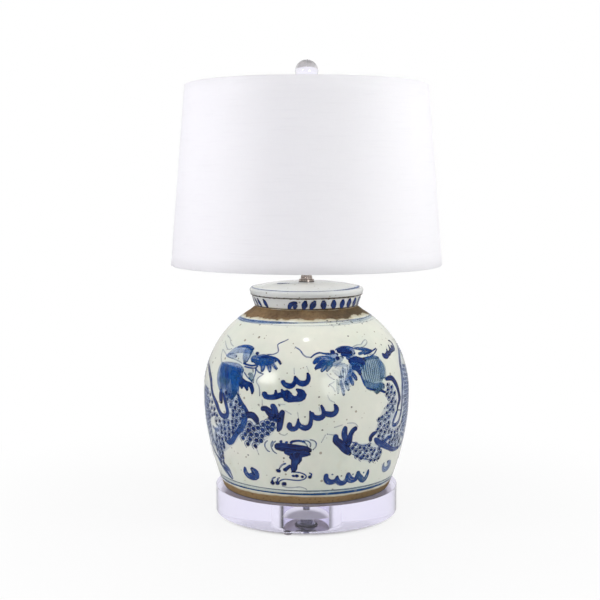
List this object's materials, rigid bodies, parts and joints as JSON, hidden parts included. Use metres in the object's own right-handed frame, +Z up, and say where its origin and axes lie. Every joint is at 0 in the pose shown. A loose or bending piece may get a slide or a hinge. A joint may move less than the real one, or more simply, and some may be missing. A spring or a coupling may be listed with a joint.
{
  "type": "porcelain table lamp",
  "caption": "Lidded blue-and-white porcelain jar on a clear acrylic disc, made up as a table lamp with a white drum shade, a wire harp and a clear ball finial.",
  "frame": {"origin": "on the lamp's vertical axis, at the height of the table under the bumper feet", "axes": "+Z up along the threaded pipe, -Y towards the front of the lamp, +X to the right seen from the front"},
  "size_m": [0.432, 0.4318, 0.7264],
  "materials": {
    "clear_acrylic": "polished, clear with a faint lilac tint",
    "bumper_rubber": "soft translucent grey",
    "grey_rubber": "matt dark grey",
    "zinc_steel": "zinc plated",
    "nylon": "natural nylon",
    "glazed_porcelain": "off-white glaze painted in cobalt blue",
    "nickel": "satin nickel plate",
    "insulating_card": "brown insulating card",
    "black_phenolic": "moulded black phenolic",
    "contact_brass": "plain brass",
    "frosted_glass": "frosted white",
    "shade_linen": "plain white woven shade cloth",
    "styrene_liner": "smooth white backing",
    "white_wire": "white enamelled wire"
  },
  "bodies": {
    "stand": {"acrylic_base": "clear_acrylic", "bumper_feet": "bumper_rubber", "cushion_washer": "grey_rubber", "foot_gasket": "grey_rubber", "floor_bush": "grey_rubber", "lid_washer": "grey_rubber", "base_washer": "zinc_steel", "base_nut": "zinc_steel", "threaded_pipe": "zinc_steel", "cap_set_screw": "zinc_steel", "pipe_bushing": "nylon", "jar_body": "glazed_porcelain", "jar_lid": "glazed_porcelain", "check_ring": "nickel", "lock_nut": "nickel", "harp_saddle": "nickel", "harp_wire": "nickel", "harp_stud": "nickel", "socket_cap": "nickel", "socket_shell": "nickel", "socket_liner": "insulating_card", "switch_block": "black_phenolic", "screw_shell": "contact_brass", "centre_contact": "contact_brass", "terminal_screws": "contact_brass"},
    "switch": {"switch_spindle": "contact_brass", "switch_knob": "black_phenolic"},
    "bulb": {"bulb_insulator": "black_phenolic", "bulb_base": "nickel", "bulb_glass": "frosted_glass"},
    "sleeve_left": {"harp_sleeve_left": "nickel"},
    "sleeve_right": {"harp_sleeve_right": "nickel"},
    "shade": {"shade_cover": "shade_linen", "shade_liner": "styrene_liner", "bottom_ring": "white_wire", "top_ring": "white_wire", "shade_spider": "white_wire"},
    "finial": {"finial_ferrule": "nickel", "finial_ball": "clear_acrylic"}
  },
  "joints": [
    {"name": "switch_turn", "type": "hinge", "parent": "stand", "child": "switch", "pos_m": [0, 0, 0.4176], "axis": [0, -1, 0], "continuous": true},
    {"name": "bulb_screw", "type": "hinge", "parent": "stand", "child": "bulb", "pos_m": [0, 0, 0.4356], "axis": [0, 0, 1], "continuous": true},
    {"name": "sleeve_left_lift", "type": "slide", "parent": "stand", "child": "sleeve_left", "axis": [0, 0, 1], "range_m": [0, 0.018]},
    {"name": "sleeve_right_lift", "type": "slide", "parent": "stand", "child": "sleeve_right", "axis": [0, 0, 1], "range_m": [0, 0.018]},
    {"name": "shade_turn", "type": "hinge", "parent": "stand", "child": "shade", "pos_m": [0, 0, 0.6725], "axis": [0, 0, 1], "continuous": true},
    {"name": "finial_screw", "type": "hinge", "parent": "stand", "child": "finial", "pos_m": [0, 0, 0.674], "axis": [0, 0, 1], "continuous": true}
  ]
}
